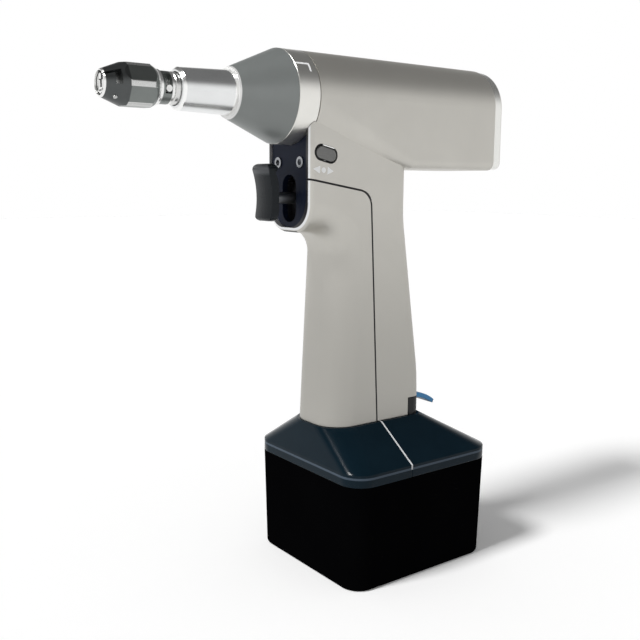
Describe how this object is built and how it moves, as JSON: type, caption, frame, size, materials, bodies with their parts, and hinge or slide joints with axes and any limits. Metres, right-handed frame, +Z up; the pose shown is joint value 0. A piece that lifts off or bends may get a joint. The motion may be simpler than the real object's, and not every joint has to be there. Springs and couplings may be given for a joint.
{
  "type": "surgical reciprocating saw",
  "caption": "Pistol-grip battery saw handpiece: twist collar for a blade, tapered nose, slender handle with trigger and plug-in battery base.",
  "frame": {"origin": "centre of the battery's flat base", "axes": "+Z up along the handle, -X towards the nose and blade, -Y the side with the direction button"},
  "size_m": [0.2012, 0.0802, 0.238],
  "materials": {
    "housing_metal": "satin champagne-grey anodised",
    "cap_metal": "satin anodised with a polished edge",
    "cone_metal": "satin gunmetal",
    "ring_metal": "satin",
    "barrel_metal": "fine satin",
    "collar_metal": "dark gunmetal",
    "steel": "ground",
    "bronze": "plain",
    "seal_rubber": "moulded",
    "plate_finish": "satin blue-black",
    "trigger_finish": "satin blue-black",
    "button_finish": "moulded",
    "magnet": "plated",
    "copper": "enamelled wire",
    "board": "printed board",
    "black_plastic": "moulded",
    "contacts": "plated",
    "lid_plastic": "glossy blue-black",
    "case_plastic": "glossy black",
    "cell_sleeve": "shrink sleeve",
    "tab_plastic": "bright blue"
  },
  "bodies": {
    "handpiece": {"main_housing": "housing_metal", "grip_cover": "housing_metal", "rear_cap": "cap_metal", "rear_cap_gasket": "seal_rubber", "rear_cap_screws": "steel", "nose_cone": "cone_metal", "index_ring": "ring_metal", "barrel_sleeve": "barrel_metal", "barrel_nut": "steel", "front_bush": "bronze", "rear_bush": "bronze", "shaft_seal": "seal_rubber", "guide_sleeve": "steel", "front_bearing_plate": "housing_metal", "motor_plate": "housing_metal", "motor_screws": "steel", "cam_front_bearing": "steel", "cam_rear_bearing": "steel", "motor_can": "steel", "motor_end_bell": "housing_metal", "motor_front_bearing": "steel", "motor_rear_bearing": "steel", "stator_core": "steel", "stator_windings": "copper", "trigger_plate": "plate_finish", "trigger_plate_screws": "steel", "trigger_bush": "bronze", "trigger_spring": "steel", "trigger_sensor": "black_plastic", "control_board": "board", "contact_block": "black_plastic", "contact_pins": "contacts", "button_pin": "steel"},
    "blade_drive": {"drive_shaft": "steel", "blade_holder": "steel", "collar_index_pin": "steel", "collar_spring": "steel", "cam_yoke": "steel", "follower_pin": "steel"},
    "collar": {"lock_collar": "collar_metal", "collar_detent_pin": "steel"},
    "trigger": {"trigger_pad": "trigger_finish", "trigger_stem": "steel", "trigger_magnet": "magnet"},
    "button": {"direction_button": "button_finish"},
    "rotor": {"motor_shaft": "steel", "rotor_magnet": "magnet", "motor_pinion": "steel"},
    "cam": {"cam_drum": "steel", "cam_gear": "steel"},
    "battery": {"battery_case": "case_plastic", "battery_lid_front": "lid_plastic", "battery_lid_rear": "lid_plastic", "battery_cells": "cell_sleeve", "terminal_block": "black_plastic", "battery_terminals": "contacts", "latch_block": "case_plastic", "latch_pin": "steel", "latch_spring": "steel"},
    "tab": {"release_tab": "tab_plastic"}
  },
  "joints": [
    {"name": "blade_stroke", "type": "slide", "parent": "handpiece", "child": "blade_drive", "axis": [1, 0, 0], "range_m": [-0.003, 0.003]},
    {"name": "collar_turn", "type": "hinge", "parent": "blade_drive", "child": "collar", "pos_m": [-0.125, 0, 0.218], "axis": [1, 0, 0], "range_deg": [0, 42], "stiffness_Nm_per_rad": 0.05, "springref_deg": -22.92},
    {"name": "trigger_pull", "type": "slide", "parent": "handpiece", "child": "trigger", "axis": [1, 0, 0], "range_m": [0, 0.0065], "stiffness_N_per_m": 1200, "springref_m": -0.003, "deforming": ["trigger_spring"]},
    {"name": "direction_tilt", "type": "hinge", "parent": "handpiece", "child": "button", "pos_m": [-0.0432, -0.0156, 0.1939], "axis": [0, 0, 1], "range_deg": [-4, 4]},
    {"name": "cam_spin", "type": "hinge", "parent": "handpiece", "child": "cam", "pos_m": [-0.027, 0, 0.218], "axis": [1, 0, 0], "continuous": true},
    {"name": "rotor_spin", "type": "hinge", "parent": "handpiece", "child": "rotor", "pos_m": [0.02, 0, 0.2079], "axis": [1, 0, 0], "continuous": true},
    {"name": "battery_slide", "type": "slide", "parent": "handpiece", "child": "battery", "axis": [0, 0, -1], "range_m": [0, 0.04]},
    {"name": "tab_press", "type": "hinge", "parent": "battery", "child": "tab", "pos_m": [0.0116, 0, 0.0744], "axis": [0, 1, 0], "range_deg": [0, 8], "stiffness_Nm_per_rad": 0.4, "springref_deg": -11.46, "deforming": ["latch_spring"]}
  ],
  "couplings": [
    {"joint": "rotor_spin", "follows": "cam_spin", "ratio": -1.5}
  ]
}
